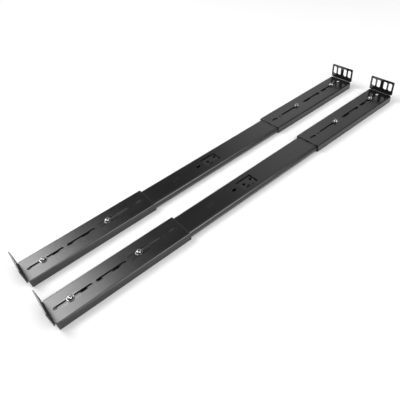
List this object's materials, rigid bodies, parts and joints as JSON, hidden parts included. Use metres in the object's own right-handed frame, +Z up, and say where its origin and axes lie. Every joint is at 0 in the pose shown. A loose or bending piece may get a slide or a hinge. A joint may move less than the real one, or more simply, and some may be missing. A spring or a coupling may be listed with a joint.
{
  "type": "sliding server rail pair",
  "caption": "Pair of telescopic ball-bearing server rails carried in slotted, depth-adjustable brackets with folded rack flanges at both ends.",
  "frame": {"origin": "centre of the pair's outline on the surface that the rails lie on", "axes": "+X along the rails from the front flanges to the rear ones, +Y across from the right rail to the left one, +Z up, away from the surface"},
  "size_m": [0.658, 0.1264, 0.0365],
  "materials": {
    "bracket_paint": "semi-gloss black powder coat over folded sheet",
    "rail_paint": "semi-gloss black coat over rolled sheet, outer and middle rails",
    "slide_steel": "zinc-plated rolled steel with a film of grease, inner rails",
    "cage_steel": "blackened and oiled thin strip",
    "ball_steel": "polished bearing steel",
    "screw_zinc": "bright zinc",
    "washer_zinc": "bright zinc",
    "bumper_plastic": "matte moulded plastic",
    "latch_plastic": "moulded plastic",
    "rivet_steel": "plain steel rivet"
  },
  "bodies": {
    "left_outer": {"left_outer_rail": "rail_paint", "left_bracket_screws": "screw_zinc", "left_bracket_washers": "washer_zinc", "left_rear_bumper": "bumper_plastic"},
    "left_front_bracket": {"left_front_bracket": "bracket_paint"},
    "left_rear_bracket": {"left_rear_bracket": "bracket_paint"},
    "left_middle": {"left_middle_rail": "rail_paint"},
    "left_inner": {"left_inner_rail": "slide_steel", "left_latch_rivet": "rivet_steel"},
    "left_outer_cage": {"left_outer_cage": "cage_steel", "left_outer_balls": "ball_steel"},
    "left_inner_cage": {"left_inner_cage": "cage_steel", "left_inner_balls": "ball_steel"},
    "left_latch": {"left_release_latch": "latch_plastic"},
    "right_outer": {"right_outer_rail": "rail_paint", "right_bracket_screws": "screw_zinc", "right_bracket_washers": "washer_zinc", "right_rear_bumper": "bumper_plastic"},
    "right_front_bracket": {"right_front_bracket": "bracket_paint"},
    "right_rear_bracket": {"right_rear_bracket": "bracket_paint"},
    "right_middle": {"right_middle_rail": "rail_paint"},
    "right_inner": {"right_inner_rail": "slide_steel", "right_latch_rivet": "rivet_steel"},
    "right_outer_cage": {"right_outer_cage": "cage_steel", "right_outer_balls": "ball_steel"},
    "right_inner_cage": {"right_inner_cage": "cage_steel", "right_inner_balls": "ball_steel"},
    "right_latch": {"right_release_latch": "latch_plastic"}
  },
  "joints": [
    {"name": "pair_spread", "type": "slide", "parent": "left_outer", "child": "right_outer", "axis": [0, -1, 0], "range_m": [0, 0.2]},
    {"name": "left_front_bracket_slide", "type": "slide", "parent": "left_outer", "child": "left_front_bracket", "axis": [-1, 0, 0], "range_m": [-0.007, 0.027]},
    {"name": "left_rear_bracket_slide", "type": "slide", "parent": "left_outer", "child": "left_rear_bracket", "axis": [1, 0, 0], "range_m": [-0.004, 0.027]},
    {"name": "left_middle_slide", "type": "slide", "parent": "left_outer", "child": "left_middle", "axis": [-1, 0, 0], "range_m": [0, 0.315]},
    {"name": "left_outer_cage_slide", "type": "slide", "parent": "left_outer", "child": "left_outer_cage", "axis": [-1, 0, 0], "range_m": [0, 0.1575]},
    {"name": "left_inner_slide", "type": "slide", "parent": "left_middle", "child": "left_inner", "axis": [-1, 0, 0], "range_m": [0, 0.315]},
    {"name": "left_inner_cage_slide", "type": "slide", "parent": "left_middle", "child": "left_inner_cage", "axis": [-1, 0, 0], "range_m": [0, 0.1575]},
    {"name": "left_latch_pivot", "type": "hinge", "parent": "left_inner", "child": "left_latch", "pos_m": [-0.271, 0.041, 0.0025], "axis": [0, 0, 1], "range_deg": [0, 8], "stiffness_Nm_per_rad": 0.02},
    {"name": "right_front_bracket_slide", "type": "slide", "parent": "right_outer", "child": "right_front_bracket", "axis": [-1, 0, 0], "range_m": [-0.007, 0.027]},
    {"name": "right_rear_bracket_slide", "type": "slide", "parent": "right_outer", "child": "right_rear_bracket", "axis": [1, 0, 0], "range_m": [-0.004, 0.027]},
    {"name": "right_middle_slide", "type": "slide", "parent": "right_outer", "child": "right_middle", "axis": [-1, 0, 0], "range_m": [0, 0.315]},
    {"name": "right_outer_cage_slide", "type": "slide", "parent": "right_outer", "child": "right_outer_cage", "axis": [-1, 0, 0], "range_m": [0, 0.1575]},
    {"name": "right_inner_slide", "type": "slide", "parent": "right_middle", "child": "right_inner", "axis": [-1, 0, 0], "range_m": [0, 0.315]},
    {"name": "right_inner_cage_slide", "type": "slide", "parent": "right_middle", "child": "right_inner_cage", "axis": [-1, 0, 0], "range_m": [0, 0.1575]},
    {"name": "right_latch_pivot", "type": "hinge", "parent": "right_inner", "child": "right_latch", "pos_m": [-0.268, -0.041, 0.0025], "axis": [0, 0, 1], "range_deg": [0, 8], "stiffness_Nm_per_rad": 0.02}
  ],
  "couplings": [
    {"joint": "left_outer_cage_slide", "follows": "left_middle_slide", "ratio": 0.5},
    {"joint": "left_inner_cage_slide", "follows": "left_inner_slide", "ratio": 0.5},
    {"joint": "right_outer_cage_slide", "follows": "right_middle_slide", "ratio": 0.5},
    {"joint": "right_inner_cage_slide", "follows": "right_inner_slide", "ratio": 0.5}
  ]
}
